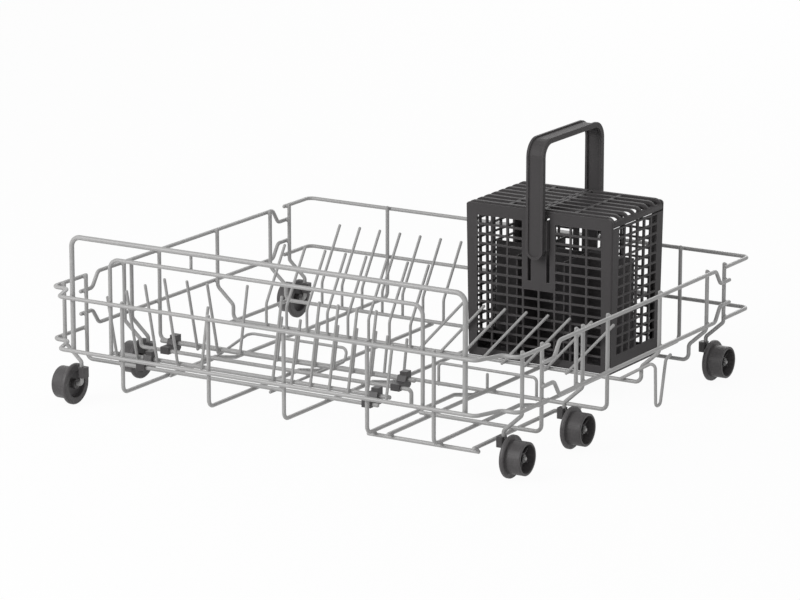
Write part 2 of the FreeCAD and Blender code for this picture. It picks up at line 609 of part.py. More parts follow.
def wheel(y):
    """Flanged plastic wheel of the right side: dished flange inside, drum with a ribbed recess outside."""
    bore = FRAME_WIRE / 2 + AXLE_CLEARANCE
    edge = WHEEL_EDGE
    recess_x = WHEEL_WIDTH - DRUM_RECESS
    hub_end = WHEEL_WIDTH - HUB_SETBACK
    inner_r = DRUM_RADIUS - DRUM_WALL
    outline = [(0, bore), (0, HUB_RADIUS), (WHEEL_DISH, HUB_RADIUS), (WHEEL_DISH, inner_r - edge / 2),
               (0, inner_r), (0, WHEEL_RADIUS - edge), (edge, WHEEL_RADIUS),
               (WHEEL_FLANGE - edge, WHEEL_RADIUS), (WHEEL_FLANGE, WHEEL_RADIUS - edge),
               (WHEEL_FLANGE, DRUM_RADIUS), (WHEEL_WIDTH - edge / 2, DRUM_RADIUS),
               (WHEEL_WIDTH, DRUM_RADIUS - edge / 2), (WHEEL_WIDTH, inner_r), (recess_x, inner_r - edge / 2),
               (recess_x, HUB_RADIUS), (hub_end, HUB_RADIUS), (hub_end, bore)]
    corners = [V(WHEEL_INNER_X + a, y, WHEEL_Z + r) for a, r in outline]
    face = Part.Face(Part.makePolygon(corners + corners[:1]))
    centre = V(WHEEL_INNER_X, y, WHEEL_Z)
    body = face.revolve(centre, V(1, 0, 0), 360)
    ribs = []
    for i in range(WHEEL_RIBS):
        rib = box(WHEEL_INNER_X + recess_x - edge / 2, y - RIB_THICKNESS / 2, WHEEL_Z + HUB_RADIUS - edge / 2,
                  WHEEL_INNER_X + hub_end - RIB_SETBACK, y + RIB_THICKNESS / 2, WHEEL_Z + inner_r + edge / 4)
        ribs.append(rib.rotate(centre, V(1, 0, 0), i * 360.0 / WHEEL_RIBS))
    return body.fuse(ribs).removeSplitter()


def wheel_arm(y):
    """Upright that turns in, drops and ends as the wheel's axle."""
    axle_end = NUT_X + NUT_THICKNESS + AXLE_TIP
    points = shoulder_points(y) + [(INNER_X, y, WHEEL_Z), (axle_end, y, WHEEL_Z)]
    return bent_wire(points, FRAME_WIRE, AXLE_BEND)


def push_nut(y):
    """Spring steel ring that keeps a wheel on its axle."""
    start = V(NUT_X, y, WHEEL_Z)
    along = V(1, 0, 0)
    disc = Part.makeCylinder(NUT_RADIUS, NUT_THICKNESS, start, along)
    return disc.cut(Part.makeCylinder(FRAME_WIRE / 2 + WELD_GAP, NUT_THICKNESS, start, along))


def axle_saddle(y):
    """Plastic clip on the upright part of the arm, open towards the wheel."""
    low_z = WHEEL_Z + AXLE_BEND + SADDLE_ABOVE_BEND
    top_z = low_z + SADDLE_HEIGHT
    outer_x = INNER_X + SADDLE_LIP
    block = box(outer_x - SADDLE_DEPTH, y - SADDLE_WIDTH / 2, low_z, outer_x, y + SADDLE_WIDTH / 2, top_z)
    upright = [e for e in block.Edges if abs(e.tangentAt(0).z) > 0.9]
    block = block.makeChamfer(SADDLE_CHAMFER, upright)
    return block.cut(Part.makeCylinder(FRAME_WIRE / 2 + WELD_GAP, SADDLE_HEIGHT, V(INNER_X, y, low_z)))


def wheels():
    arms = {"left": [], "right": []}
    nuts = []
    saddles = []
    for place, y in wheel_places():
        for side, make in (("right", lambda s: s), ("left", mirrored)):
            export(place + "_" + side + "_wheel", [make(wheel(y))])
            arms[side].append(make(wheel_arm(y)))
            nuts.append(make(push_nut(y)))
            saddles.append(make(axle_saddle(y)))
    for side, group in arms.items():
        export(side + "_wheel_arms", group)
    export("axle_push_nuts", nuts)
    export("axle_saddles", saddles)


def leg_end():
    return RIM_Z + HANDLE_RISE - LEG_LENGTH


def slot_ends():
    """Lower and upper end of the slots that the handle's hooks slide in."""
    return leg_end() - SLOT_BELOW, RIM_Z - SLOT_DROP


def drawn_in(z):
    """How far the basket's walls lie inside the rim at a height."""
    return BASKET_DRAFT * (RIM_Z - z) / BASKET_HEIGHT


def tapered_block(low, high, inset_x, inset_y):
    """The room inside the basket's outer faces, between two heights, moved in from each side."""
    sections = []
    for z in (low, high):
        half_x = BASKET_LENGTH / 2 - drawn_in(z) - inset_x
        half_y = BASKET_DEPTH / 2 - drawn_in(z) - inset_y
        corners = [V(BASKET_X + sx * half_x, BASKET_Y + sy * half_y, z)
                   for sx, sy in ((-1, -1), (1, -1), (1, 1), (-1, 1))]
        sections.append(Part.makePolygon(corners + corners[:1]))
    return Part.makeLoft(sections, True, True)


def window_levels(rows):
    """Lower and upper edge of each row of windows."""
    levels = []
    for row in range(rows):
        z = BASKET_Z + WINDOW_FLOOR_BAND + row * WINDOW_PITCH_Z
        levels.append((z, z + WINDOW_PITCH_Z - WINDOW_BAR))
    return levels


def centred(count, pitch):
    return [(i - (count - 1) / 2) * pitch for i in range(count)]


def long_wall_cutters():
    """Windows and handle slots through the front and the back wall, and rod holes in their inner sides."""
    cutters = []
    y0 = BASKET_FRONT_Y - BASKET_WALL
    y1 = BASKET_BACK_Y + BASKET_WALL
    half = (WINDOW_PITCH_X - WINDOW_BAR) / 2
    slot_low, slot_top = slot_ends()
    for z0, z1 in window_levels(WINDOW_ROWS):
        for offset in centred(WINDOW_COLUMNS, WINDOW_PITCH_X):
            beside_slots = abs(offset) - half < SLOT_FROM_CENTRE + SLOT_WIDTH / 2
            if beside_slots and z1 > slot_low - SLOT_LEDGE:
                continue
            x = BASKET_X + offset
            cutters.append(box(x - half, y0, z0, x + half, y1, z1))
    for side in (-1, 1):
        x = BASKET_X + side * SLOT_FROM_CENTRE
        cutters.append(box(x - SLOT_WIDTH / 2, y0, slot_low, x + SLOT_WIDTH / 2, y1, slot_top))
    rod_y = BASKET_FRONT_Y + BASKET_WALL / 2 - PANEL_GAP
    length = 2 * (BASKET_Y - rod_y)
    for x in lid_rod_xs():
        cutters.append(Part.makeCylinder(LID_ROD / 2 + WELD_GAP, length, V(x, rod_y, LID_ROD_Z), V(0, 1, 0)))
    return Part.makeCompound(cutters)


def side_wall_cutters():
    """Windows of the side walls, which begin one row higher than those of the front."""
    cutters = []
    x0 = BASKET_X - BASKET_LENGTH
    x1 = BASKET_X + BASKET_LENGTH
    half = (SIDE_PITCH_Y - SIDE_BAR) / 2
    for z0, z1 in window_levels(SIDE_ROWS + 1)[1:]:
        for offset in centred(SIDE_COLUMNS, SIDE_PITCH_Y):
            y = BASKET_Y + offset
            cutters.append(box(x0, y - half, z0, x1, y + half, z1))
    return Part.makeCompound(cutters)


def basket_walls():
    """Window walls that lean out a little; the long ones hold the lid rods and the handle's slots."""
    wall = BASKET_WALL
    low = BASKET_Z - wall
    high = RIM_Z + wall
    outside = tapered_block(BASKET_Z, RIM_Z, 0, 0)
    upright = [e for e in outside.Edges if abs(e.tangentAt(0).z) > 0.9]
    outside = outside.makeFillet(BASKET_CORNER, upright)
    shape = box(BASKET_X - BASKET_LENGTH / 2, BASKET_FRONT_Y, BASKET_Z,
                BASKET_X + BASKET_LENGTH / 2, BASKET_BACK_Y, RIM_Z)
    upper = [e for e in shape.Edges if abs(e.tangentAt(0).y) > 0.9 and e.CenterOfMass.z > RIM_Z - wall]
    outside = outside.common(shape.makeFillet(BASKET_SHOULDER, upper))
    long_walls = outside.cut(tapered_block(low, high, -wall, wall)).cut(long_wall_cutters())
    for solid in long_walls.Solids:
        name = "front" if solid.CenterOfMass.y < BASKET_Y else "back"
        export("basket_" + name + "_wall", [solid])
    side_top = RIM_Z - SIDE_WALL_DROP
    sides = tapered_block(BASKET_Z, side_top, 0, wall + PANEL_GAP)
    sides = sides.cut(tapered_block(low, high, wall, -wall)).cut(side_wall_cutters())
    export("basket_side_walls", sides.Solids)


def basket_floor():
    """Slotted floor panel between the feet of the walls."""
    inset = BASKET_DRAFT + BASKET_WALL + PANEL_GAP
    half_x = BASKET_LENGTH / 2 - inset
    half_y = BASKET_DEPTH / 2 - inset
    top = BASKET_Z + BASKET_WALL
    panel = box(BASKET_X - half_x, BASKET_Y - half_y, BASKET_Z, BASKET_X + half_x, BASKET_Y + half_y, top)
    slot_x = FLOOR_SLOT_LENGTH / 2
    slot_y = FLOOR_SLOT_WIDTH / 2
    slots = []
    for dy in centred(FLOOR_SLOT_ROWS, FLOOR_SLOT_PITCH_Y):
        for dx in centred(FLOOR_SLOT_COLUMNS, WINDOW_PITCH_X):
            x = BASKET_X + dx
            y = BASKET_Y + dy
            slots.append(box(x - slot_x, y - slot_y, BASKET_Z, x + slot_x, y + slot_y, top))
    export("basket_floor", [panel.cut(Part.makeCompound(slots))])


def basket_cross_bar():
    """Bar between the long walls that the lids' inner edges rest on."""
    top = LID_TOP_Z - LID_THICKNESS - LID_GAP
    low = top - CROSS_BAR_DEPTH
    half_y = BASKET_DEPTH / 2 - drawn_in(low) - BASKET_WALL - PANEL_GAP
    half_x = CROSS_BAR_WIDTH / 2
    bar = box(BASKET_X - half_x, BASKET_Y - half_y, low, BASKET_X + half_x, BASKET_Y + half_y, top)
    export("basket_cross_bar", [bar])


def basket_divider():
    """Lattice that stands in the basket and parts it into six cells."""
    low = BASKET_Z + BASKET_WALL + BASKET_SEAT_GAP
    high = RIM_Z - DIVIDER_DROP
    inset = BASKET_DRAFT + BASKET_WALL + DIVIDER_GAP
    half_x = BASKET_LENGTH / 2 - inset
    half_y = BASKET_DEPTH / 2 - inset
    half = DIVIDER_WALL / 2
    lattice = box(BASKET_X - half_x, BASKET_Y - half, low, BASKET_X + half_x, BASKET_Y + half, high)
    cross = []
    for x in (BASKET_X - DIVIDER_CELL / 2, BASKET_X + DIVIDER_CELL / 2):
        cross.append(box(x - half, BASKET_Y - half_y, low, x + half, BASKET_Y + half_y, high))
    export("basket_divider", [lattice.fuse(cross).removeSplitter()])


def lid_rod_xs():
    return (BASKET_X - BASKET_LENGTH / 2 + LID_ROD_INSET, BASKET_X + BASKET_LENGTH / 2 - LID_ROD_INSET)


def grille_lid():
    """Right half of the lid: bars that curve down to a knuckle on the hinge rod."""
    rod_x = lid_rod_xs()[1]
    y0 = BASKET_FRONT_Y + BASKET_WALL + LID_GAP
    y1 = BASKET_BACK_Y - BASKET_WALL - LID_GAP
    inner_x = BASKET_X + LID_GAP
    outer_r = LID_SHOULDER
    inner_r = LID_SHOULDER - LID_THICKNESS
    bend_x = rod_x + LID_KNUCKLE - outer_r
    turn = math.sqrt(0.5)
    low = LID_TOP_Z - LID_THICKNESS

    def at(x, z):
        return V(x, y0, z)

    outer_arc = Part.Arc(at(bend_x + outer_r, LID_ROD_Z),
                         at(bend_x + turn * outer_r, LID_ROD_Z + turn * outer_r), at(bend_x, LID_TOP_Z))
    inner_arc = Part.Arc(at(bend_x, low), at(bend_x + turn * inner_r, LID_ROD_Z + turn * inner_r),
                         at(bend_x + inner_r, LID_ROD_Z))
    outline = [outer_arc.toShape(), Part.LineSegment(at(bend_x, LID_TOP_Z), at(inner_x, LID_TOP_Z)).toShape(),
               Part.LineSegment(at(inner_x, LID_TOP_Z), at(inner_x, low)).toShape(),
               Part.LineSegment(at(inner_x, low), at(bend_x, low)).toShape(), inner_arc.toShape(),
               Part.LineSegment(at(bend_x + inner_r, LID_ROD_Z), at(bend_x + outer_r, LID_ROD_Z)).toShape()]
    profile = Part.Face(Part.Wire(outline))
    pitch = (y1 - y0 - LID_BAR_WIDTH) / (LID_BARS - 1)
    bars = []
    for i in range(LID_BARS):
        bar = profile.extrude(V(0, LID_BAR_WIDTH, 0))
        bar.translate(V(0, i * pitch, 0))
        bars.append(bar)
    knuckle = Part.makeCylinder(LID_KNUCKLE, y1 - y0, at(rod_x, LID_ROD_Z), V(0, 1, 0))
    closed = box(bend_x, y0, LID_ROD_Z, bend_x + outer_r, y1, LID_ROD_Z + LID_BAND)
    band = profile.extrude(V(0, y1 - y0, 0)).common(closed)
    middle_x = (inner_x + bend_x) / 2
    rib_top = LID_TOP_Z - LID_RIB_DROP
    ribs = [box(inner_x, y0, low, inner_x + LID_BAR_WIDTH, y1, rib_top),
            box(middle_x - LID_BAR_WIDTH / 2, y0, low, middle_x + LID_BAR_WIDTH / 2, y1, rib_top)]
    bore = Part.makeCylinder(LID_ROD / 2 + ROD_CLEARANCE, y1 - y0, at(rod_x, LID_ROD_Z), V(0, 1, 0))
    return knuckle.fuse(bars + ribs + [band]).removeSplitter().cut(bore)


def basket_lids():
    right = grille_lid()
    left = right.mirror(V(BASKET_X, 0, 0), V(1, 0, 0))
    export("right_grille_lid", [right])
    export("left_grille_lid", [left])
    length = BASKET_DEPTH - BASKET_WALL
    rods = []
    for x in lid_rod_xs():
        start = V(x, BASKET_FRONT_Y + BASKET_WALL / 2, LID_ROD_Z)
        rods.append(Part.makeCylinder(LID_ROD / 2, length, start, V(0, 1, 0)))
    export("lid_hinge_rods", rods)


def strap_block(inset, half_width):
    """The strap's arch filled in, moved in by a distance from its outer side."""
    reach = STRAP_STANDOFF + STRAP_THICKNESS - inset
    top = RIM_Z + HANDLE_RISE
    block = box(BASKET_X - half_width, BASKET_FRONT_Y - reach, leg_end(),
                BASKET_X + half_width, BASKET_BACK_Y + reach, top - inset)
    corners = [e for e in block.Edges if abs(e.tangentAt(0).x) > 0.9 and e.CenterOfMass.z > RIM_Z]
    return block.makeFillet(STRAP_BEND + STRAP_THICKNESS - inset, corners)


def front_hooks():
    """Plate across the front leg, with two hooks that pass through the slots of the wall."""
    low = leg_end() + STRAP_WIDTH / 2
    high = low + HOOK_HEIGHT
    hook_half = SLOT_WIDTH / 2 - HOOK_GAP
    plate_half = SLOT_FROM_CENTRE + hook_half
    plate_y = BASKET_FRONT_Y - STRAP_STANDOFF - HOOK_PLATE / 2
    behind_y = BASKET_FRONT_Y + drawn_in(low - SLOT_BELOW) + BASKET_WALL + HOOK_GAP
    pieces = [box(BASKET_X - plate_half, plate_y, low, BASKET_X + plate_half, plate_y + HOOK_PLATE, high)]
    for side in (-1, 1):
        x = BASKET_X + side * SLOT_FROM_CENTRE
        catch_x = x + side * (SLOT_WIDTH / 2 + HOOK_CATCH)
        root_x = x - side * hook_half
        pieces.append(box(x - hook_half, plate_y, low, x + hook_half, behind_y + HOOK_THICKNESS, high))
        pieces.append(box(min(root_x, catch_x), behind_y, low,
                          max(root_x, catch_x), behind_y + HOOK_THICKNESS, high))
    return pieces


def basket_handle():
    """Carrying strap of channel section; its hooks slide in the slots of the front and back walls."""
    half = STRAP_WIDTH / 2
    inner_half = half - STRAP_RIM
    low = leg_end()
    outer_y = BASKET_FRONT_Y - STRAP_STANDOFF - STRAP_THICKNESS
    span = 2 * (BASKET_Y - outer_y)
    tips = box(BASKET_X - half, outer_y, low, BASKET_X + half, outer_y + span, low + half)
    strap = strap_block(0, half).cut(strap_block(STRAP_THICKNESS, 2 * half))
    channel = strap_block(STRAP_WEB, inner_half)
    round_tips, round_ends = [Part.makeCylinder(r, span, V(BASKET_X, outer_y, low + half), V(0, 1, 0))
                              for r in (half, inner_half)]
    recess = strap_block(0, inner_half).cut(strap_block(STRAP_RECESS, 2 * half)).cut(tips.cut(round_ends))
    strap = strap.cut(channel).cut(recess).cut(tips.cut(round_tips))
    hooks = front_hooks()
    hooks += [h.mirror(V(0, BASKET_Y, 0), V(0, 1, 0)) for h in hooks]
    export("basket_handle", [strap.fuse(hooks).removeSplitter()])


side_rails()
front_and_back_rails()
front_hoops()
cross_wires()
floor_runners()
fixed_tines()
folding_rows()
row_clips()
tine_rest()
basket_rail()
stop_loop()
wheels()
basket_walls()
basket_floor()
basket_cross_bar()
basket_divider()
basket_lids()
basket_handle()
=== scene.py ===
# %% [markdown]
# # The lower rack of a dishwasher
# The rack is a basket of bent steel wire, spot welded where the wires touch and then dipped in
# grey nylon. It rolls on six plastic wheels and carries a cutlery basket that is moulded in parts.
# The CAD solids already have every wire and panel in its place, so this script keeps them, gives
# them real finishes, rounds the edges of the mouldings and adds the welds.

# %% Load the rack
import json
import math
import bpy
import numpy as np
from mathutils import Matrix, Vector


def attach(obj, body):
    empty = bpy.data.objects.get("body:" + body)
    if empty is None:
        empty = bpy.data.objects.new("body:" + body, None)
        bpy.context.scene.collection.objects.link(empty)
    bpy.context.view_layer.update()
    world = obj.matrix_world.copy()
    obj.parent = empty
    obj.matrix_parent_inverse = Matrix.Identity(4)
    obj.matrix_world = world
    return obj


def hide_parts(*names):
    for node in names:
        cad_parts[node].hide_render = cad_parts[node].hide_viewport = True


MM_PER_M = 1000.0
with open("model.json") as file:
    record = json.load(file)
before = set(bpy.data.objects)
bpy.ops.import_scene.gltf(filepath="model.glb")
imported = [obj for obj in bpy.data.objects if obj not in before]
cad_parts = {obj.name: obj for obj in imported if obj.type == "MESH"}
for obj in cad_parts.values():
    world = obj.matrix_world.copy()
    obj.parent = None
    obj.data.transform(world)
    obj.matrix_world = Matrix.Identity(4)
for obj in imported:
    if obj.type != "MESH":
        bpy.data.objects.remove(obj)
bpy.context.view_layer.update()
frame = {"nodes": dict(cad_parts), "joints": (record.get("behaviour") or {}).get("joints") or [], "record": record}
nodes = frame["nodes"]
record = frame["record"]
slot_of = {part["node"]: part["material_slot"] for part in record["subparts"]}
body_of = {name: body for body, names in record["behaviour"]["bodies"].items() for name in names}

# %% [markdown]
# ## Shader maths as Python
# A finish is a small calculation on every point of the surface. Nodes can be wired by hand, but a
# formula is easier to read. `Value` wraps one output socket, and its operators add Math nodes, so
# that `1 - mask` or `0.4 + 0.1 * cloud` can be written as it is meant. The reflected forms are
# there because the number may stand on the left.

# %% Sockets that can be added and multiplied
def feed(socket, given):
    """Link a value to an input, or set the input to a plain number or colour."""
    if isinstance(given, Value):
        socket.id_data.links.new(given.socket, socket)
    else:
        socket.default_value = given


class Value:
    """One output of a node."""

    def __init__(self, socket):
        self.socket = socket

    def beside(self, name):
        """Another output of the same node."""
        return Value(self.socket.node.outputs[name])

    def maths(self, operation, first, second):
        node = self.socket.id_data.nodes.new("ShaderNodeMath")
        node.operation = operation
        feed(node.inputs[0], first)
        feed(node.inputs[1], second)
        return Value(node.outputs[0])

    def __add__(self, other):
        return self.maths("ADD", self, other)

    def __radd__(self, other):
        return self.maths("ADD", other, self)

    def __sub__(self, other):
        return self.maths("SUBTRACT", self, other)

    def __rsub__(self, other):
        return self.maths("SUBTRACT", other, self)

    def __mul__(self, other):
        return self.maths("MULTIPLY", self, other)

    def __rmul__(self, other):
        return self.maths("MULTIPLY", other, self)

    def __pow__(self, other):
        return self.maths("POWER", self, other)

    def least(self, other):
        return self.maths("MINIMUM", self, other)

    def most(self, other):
        return self.maths("MAXIMUM", self, other)


print("socket maths: + - * **, least and most")

# %% [markdown]
# ## One finish, one material
# Each finish needs the same start: a material with a Principled shader, the place of the point in
# the rack's own metres, and noise at a size that can be named in millimetres. One method, `node`,
# adds any other node: its type, its settings, which are set first, and its sockets. A Mix node has
# sockets for several kinds of data under the same names, so its colour sockets go by their number.

# %% The start of every finish
MIX_FACTOR, MIX_FIRST, MIX_SECOND, MIX_COLOUR = 0, 6, 7, 2
NOISE_ROUGHNESS = 0.55
BEVEL_SAMPLES = 4
EDGE_BEGINS, EDGE_FULL = 0.02, 0.25


class Finish:
    """A material for one of the rack's finishes."""

    def __init__(self, name):
        self.material = bpy.data.materials.new(name)
        self.material.use_nodes = True
        self.tree = self.material.node_tree
        self.shader = self.tree.nodes["Principled BSDF"]
        self.place = self.node("ShaderNodeTexCoord", output="Object")

    def node(self, kind, settings=None, sockets=None, output=0):
        node = self.tree.nodes.new(kind)
        for name, setting in (settings or {}).items():
            setattr(node, name, setting)
        for name, given in (sockets or {}).items():
            feed(node.inputs[name], given)
        return Value(node.outputs[output])

    def noise(self, size_mm, detail=2.0, stretch=None):
        """Soft noise from 0 to 1 whose patches are about size_mm wide."""
        place = self.place
        if stretch:
            place = self.node("ShaderNodeVectorMath", {"operation": "MULTIPLY"},
                              {0: place, 1: stretch})
        sockets = {"Vector": place, "Scale": MM_PER_M / size_mm, "Detail": detail,
                   "Roughness": NOISE_ROUGHNESS}
        return self.node("ShaderNodeTexNoise", sockets=sockets, output="Fac")

    def between(self, value, low, high):
        """Rises smoothly from 0 at low to 1 at high."""
        sockets = {"Value": value, "From Min": low, "From Max": high}
        return self.node("ShaderNodeMapRange", {"interpolation_type": "SMOOTHSTEP"}, sockets)

    def mix(self, factor, first, second):
        sockets = {MIX_FACTOR: factor, MIX_FIRST: first, MIX_SECOND: second}
        return self.node("ShaderNodeMix", {"data_type": "RGBA"}, sockets, MIX_COLOUR)

    def rounded(self, radius_mm):
        """The surface's normal with its edges rounded off."""
        return self.node("ShaderNodeBevel", {"samples": BEVEL_SAMPLES},
                         {"Radius": radius_mm / MM_PER_M}, "Normal")

    def edges(self, radius_mm):
        """A mask of the edges: where the rounded normal leaves the flat one."""
        flat = self.node("ShaderNodeNewGeometry", output="Normal")
        near = self.node("ShaderNodeVectorMath", {"operation": "DOT_PRODUCT"},
                         {0: self.rounded(radius_mm), 1: flat}, "Value")
        return self.between(1 - near, EDGE_BEGINS, EDGE_FULL)

    def bump(self, height, depth_mm, normal=None):
        sockets = {"Height": height, "Distance": depth_mm / MM_PER_M, "Strength": 1.0}
        if normal:
            sockets["Normal"] = normal
        return self.node("ShaderNodeBump", sockets=sockets, output="Normal")

    def surface(self, **sockets):
        for name, given in sockets.items():
            feed(self.shader.inputs[name.replace("_", " ")], given)
        return self.material


print("colour sockets of a Mix node:", MIX_FIRST, MIX_SECOND)

# %% [markdown]
# ## Two kinds of grey
# The coated wire and the steel are nearly neutral, some parts a touch warmer. The dark plastic
# leans a little to red. Two small functions turn one level into such a colour, so that the finishes
# below are told apart by how light they are.

# %% Greys from a level
RED_LEAN, BLUE_LEAN = 1.06, 1.02


def grey(level, warmth=0.0):
    """A grey that may be a little warm."""
    return (level * (1 + warmth), level, level * (1 - warmth), 1.0)


def charcoal(level):
    """The dark grey of the mouldings."""
    return (level * RED_LEAN, level, level * BLUE_LEAN, 1.0)


print("charcoal at 0.05:", charcoal(0.05))

# %% [markdown]
# ## Grey nylon on wire
# Hot wire is dipped in nylon powder, which melts to a satin skin. Close up it has a fine orange
# peel, and it is a little thicker here and there. A plain grey would look like bare plastic, so the
# tone drifts slowly along the wires, the gloss changes with it, and two sizes of noise make the
# skin uneven.

# %% The coated wire
NYLON_DARK, NYLON_PALE, NYLON_PORE = grey(0.305, 0.004), grey(0.385, 0.012), grey(0.24)


def coated_wire():
    finish = Finish("coated_wire_nylon")
    drift = finish.noise(90.0)
    cloud = finish.noise(14.0, detail=3.0)
    peel = finish.noise(1.1)
    sag = finish.noise(6.0, detail=1.0)
    tone = finish.mix(0.6 * drift + 0.4 * cloud, NYLON_DARK, NYLON_PALE)
    pores = finish.between(finish.noise(0.8, detail=1.0), low=0.66, high=0.76)
    tone = finish.mix(0.35 * pores, tone, NYLON_PORE)
    relief = finish.bump(0.35 * peel + sag, depth_mm=0.09)
    return finish.surface(Base_Color=tone, Roughness=0.34 + 0.16 * cloud - 0.05 * peel,
                          Specular_IOR_Level=0.45, Coat_Weight=0.08 + 0.1 * drift,
                          Coat_Roughness=0.25, Normal=relief)


wire_material = coated_wire()
print("finish:", wire_material.name)

# %% [markdown]
# ## Dark mouldings of the basket
# The basket is polypropylene from a mould with a fine spark-eroded grain. The grain is matt, and
# edges and ribs that hands and cutlery rub are paler and smoother. The pale edges are partly wear
# and partly a painted highlight along the rims. The edge mask compares a rounded normal with the
# flat one, so it finds each edge without any painting by hand.

# %% The basket's plastic
BASKET_DARK, BASKET_PALE = charcoal(0.048), charcoal(0.065)
# The pale edge colour is partly wear and partly a painted highlight on the rims.
BASKET_GRAIN, BASKET_WORN_AND_HIGHLIGHT = charcoal(0.034), charcoal(0.15)


def basket_plastic():
    finish = Finish("basket_grained_plastic")
    flow = finish.noise(45.0, detail=3.0, stretch=(1.0, 1.0, 0.45))
    grain = finish.noise(0.45)
    rub = finish.between(finish.noise(5.0, detail=3.0), low=0.35, high=0.75)
    # The edge mask paints the edges pale: partly wear, partly a painted highlight on the rims.
    worn = finish.edges(radius_mm=1.0) * (0.35 + 0.65 * rub)
    tone = finish.mix(flow, BASKET_DARK, BASKET_PALE)
    tone = finish.mix(0.12 * grain, tone, BASKET_GRAIN)
    tone = finish.mix(0.9 * worn, tone, BASKET_WORN_AND_HIGHLIGHT)
    relief = finish.bump(grain, depth_mm=0.05, normal=finish.rounded(radius_mm=0.35))
    return finish.surface(Base_Color=tone, Roughness=0.52 + 0.12 * flow - 0.14 * worn,
                          Specular_IOR_Level=0.18, Normal=relief)


basket_material = basket_plastic()
print("finish:", basket_material.name)

# %% [markdown]
# ## Wheels that roll on a track
# The wheels are moulded acetal. The tread rolls on the track and takes fine scuffs round it, and
# the flange rubs at its rim. Both follow the distance from the axle, so the finish measures it:
# the wheels share one height, and of the three stations along the depth the nearest one counts.

# %% Distance from the axle
WHEEL_JOINTS = [joint for joint in frame["joints"] if joint["name"].endswith("_wheel_spin")]
AXLE_Z = WHEEL_JOINTS[0]["pos_m"][2]
AXLE_STATIONS = sorted({joint["pos_m"][1] for joint in WHEEL_JOINTS})


def distance_from_axle(finish):
    across = finish.node("ShaderNodeSeparateXYZ", sockets={0: finish.place})
    along = across.beside("Y")
    up = across.beside("Z") - AXLE_Z
    offsets = [(along - station) ** 2.0 for station in AXLE_STATIONS]
    nearest = offsets[0].least(offsets[1]).least(offsets[2])
    return (nearest + up ** 2.0) ** 0.5


print("axle height:", AXLE_Z, "stations:", AXLE_STATIONS)

# %% The wheels' plastic
DRUM_RADIUS = 0.0162
FLANGE_RADIUS = 0.02075
TREAD_BEGINS, TREAD_FULL = DRUM_RADIUS - 0.0006, DRUM_RADIUS - 0.0001
RIM_BEGINS, RIM_FULL = FLANGE_RADIUS - 0.0016, FLANGE_RADIUS - 0.0003
WHEEL_DARK, WHEEL_PALE, WHEEL_WORN = charcoal(0.05), charcoal(0.068), charcoal(0.125)


def wheel_plastic():
    finish = Finish("wheel_acetal")
    radius = distance_from_axle(finish)
    tread = finish.between(radius, TREAD_BEGINS, TREAD_FULL)
    rim = finish.between(radius, RIM_BEGINS, RIM_FULL)
    streaks = finish.noise(2.2, detail=4.0, stretch=(6.0, 0.5, 0.5))
    scuffs = finish.between(streaks, low=0.5, high=0.68)
    cloud = finish.noise(9.0, detail=3.0)
    grain = finish.noise(0.5, detail=1.0)
    worn = (tread * scuffs).most(finish.edges(radius_mm=0.9) * cloud)
    tone = finish.mix(cloud, WHEEL_DARK, WHEEL_PALE)
    tone = finish.mix(0.4 * worn + 0.12 * rim, tone, WHEEL_WORN)
    relief = finish.bump(grain + 0.6 * scuffs * tread, depth_mm=0.04,
                         normal=finish.rounded(radius_mm=0.4))
    return finish.surface(Base_Color=tone, Roughness=0.4 + 0.14 * cloud - 0.1 * worn,
                          Specular_IOR_Level=0.35, Normal=relief)


wheel_material = wheel_plastic()
print("finish:", wheel_material.name)

# %% [markdown]
# ## Clips and saddles
# The row clips and the axle saddles are small snap-on mouldings. They come from a smoother mould
# than the basket, with a faint flow pattern from the gate, and their corners turn pale where they
# were pressed on to the wire.

# %% The clips' plastic
CLIP_DARK, CLIP_PALE, CLIP_WORN = charcoal(0.043), charcoal(0.065), charcoal(0.13)


def clip_plastic():
    finish = Finish("clip_smooth_plastic")
    flow = finish.noise(7.0, detail=4.0, stretch=(1.0, 2.5, 1.0))
    grain = finish.noise(0.6, detail=1.0)
    worn = finish.edges(radius_mm=0.8) * finish.noise(2.5)
    tone = finish.mix(flow, CLIP_DARK, CLIP_PALE)
    tone = finish.mix(0.6 * worn, tone, CLIP_WORN)
    relief = finish.bump(grain, depth_mm=0.03, normal=finish.rounded(radius_mm=0.35))
    return finish.surface(Base_Color=tone, Roughness=0.38 + 0.14 * flow, Specular_IOR_Level=0.45,
                          Normal=relief)


clip_material = clip_plastic()
print("finish:", clip_material.name)

# %% [markdown]
# ## Spring steel
# A push nut is a stamped ring of spring steel that bites into the axle's coating. A phosphate bath
# has turned it dark. The fine lines of the strip that it was stamped from still show, and metal
# shines through where its edge has rubbed.

# %% The push nuts' steel
STEEL_DARK, STEEL_PALE, STEEL_BARE = grey(0.08), grey(0.13, 0.01), grey(0.3)


def spring_steel():
    finish = Finish("spring_steel_strip")
    lines = finish.noise(0.5, detail=3.0, stretch=(1.0, 1.0, 0.12))
    stain = finish.noise(3.0)
    tone = finish.mix(stain, STEEL_DARK, STEEL_PALE)
    tone = finish.mix(0.5 * finish.edges(radius_mm=0.4), tone, STEEL_BARE)
    relief = finish.bump(lines, depth_mm=0.015, normal=finish.rounded(radius_mm=0.15))
    return finish.surface(Base_Color=tone, Metallic=1.0, Roughness=0.36 + 0.18 * lines,
                          Normal=relief)


steel_material = spring_steel()
print("finish:", steel_material.name)

# %% [markdown]
# ## Every node gets its finish
# The record says what each node is made of, so painting is one loop. The meshes of the CAD model
# stay as they are, and only their material is exchanged.

# %% Paint the nodes
material_of = {"coated_wire": wire_material, "basket_plastic": basket_material,
               "wheel_plastic": wheel_material, "clip_plastic": clip_material,
               "spring_steel": steel_material}
for name, node in nodes.items():
    node.data.materials.clear()
    node.data.materials.append(material_of[slot_of[name]])
print("painted nodes:", len(nodes))

